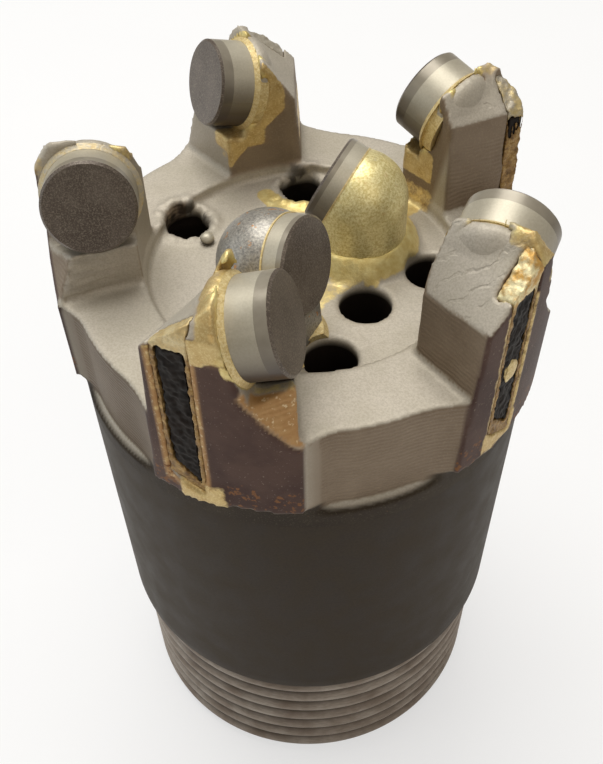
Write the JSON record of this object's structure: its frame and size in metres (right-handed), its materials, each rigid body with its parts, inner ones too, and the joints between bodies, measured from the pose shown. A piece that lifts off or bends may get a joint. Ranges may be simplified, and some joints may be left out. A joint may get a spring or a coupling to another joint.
{
  "type": "pdc drill bit",
  "caption": "Full-face drill bit with raised blades carrying polycrystalline diamond cutter discs, water ports in a recessed face and a male threaded pin.",
  "frame": {"origin": "on the bit's axis at the free end of the threaded pin", "axes": "+Z along the bit's axis, from the pin end towards the cutting face; +X to the right in the pictured view, +Y away from the viewer"},
  "size_m": [0.0743, 0.0756, 0.128],
  "materials": {
    "steel_body": "sandblasted face, dark oxidised shank, milled slots",
    "carbide": "satin ground carbide",
    "diamond_table": "dark semi-gloss diamond layer",
    "braze": "rough braze metal",
    "gauge_insert": "black rough wear insert",
    "stud": "sandblasted round-topped stud, part covered by braze"
  },
  "bodies": {
    "root": {"bit_body": "steel_body", "gauge_insert_1": "gauge_insert", "gauge_insert_1_braze": "braze", "gauge_insert_2": "gauge_insert", "gauge_insert_2_braze": "braze", "gauge_insert_3": "gauge_insert", "gauge_insert_3_braze": "braze", "gauge_insert_4": "gauge_insert", "gauge_insert_4_braze": "braze", "gauge_insert_5": "gauge_insert", "gauge_insert_5_braze": "braze", "inner_cutter_1_braze": "braze", "inner_cutter_1_diamond_table": "diamond_table", "inner_cutter_1_substrate": "carbide", "inner_cutter_2_braze": "braze", "inner_cutter_2_diamond_table": "diamond_table", "inner_cutter_2_substrate": "carbide", "inner_post_1": "stud", "inner_post_1_braze": "braze", "inner_post_2": "stud", "inner_post_2_braze": "braze", "outer_cutter_1_braze": "braze", "outer_cutter_1_diamond_table": "diamond_table", "outer_cutter_1_substrate": "carbide", "outer_cutter_2_braze": "braze", "outer_cutter_2_diamond_table": "diamond_table", "outer_cutter_2_substrate": "carbide", "outer_cutter_3_braze": "braze", "outer_cutter_3_diamond_table": "diamond_table", "outer_cutter_3_substrate": "carbide", "outer_cutter_4_braze": "braze", "outer_cutter_4_diamond_table": "diamond_table", "outer_cutter_4_substrate": "carbide", "outer_cutter_5_braze": "braze", "outer_cutter_5_diamond_table": "diamond_table", "outer_cutter_5_substrate": "carbide"}
  },
  "joints": []
}
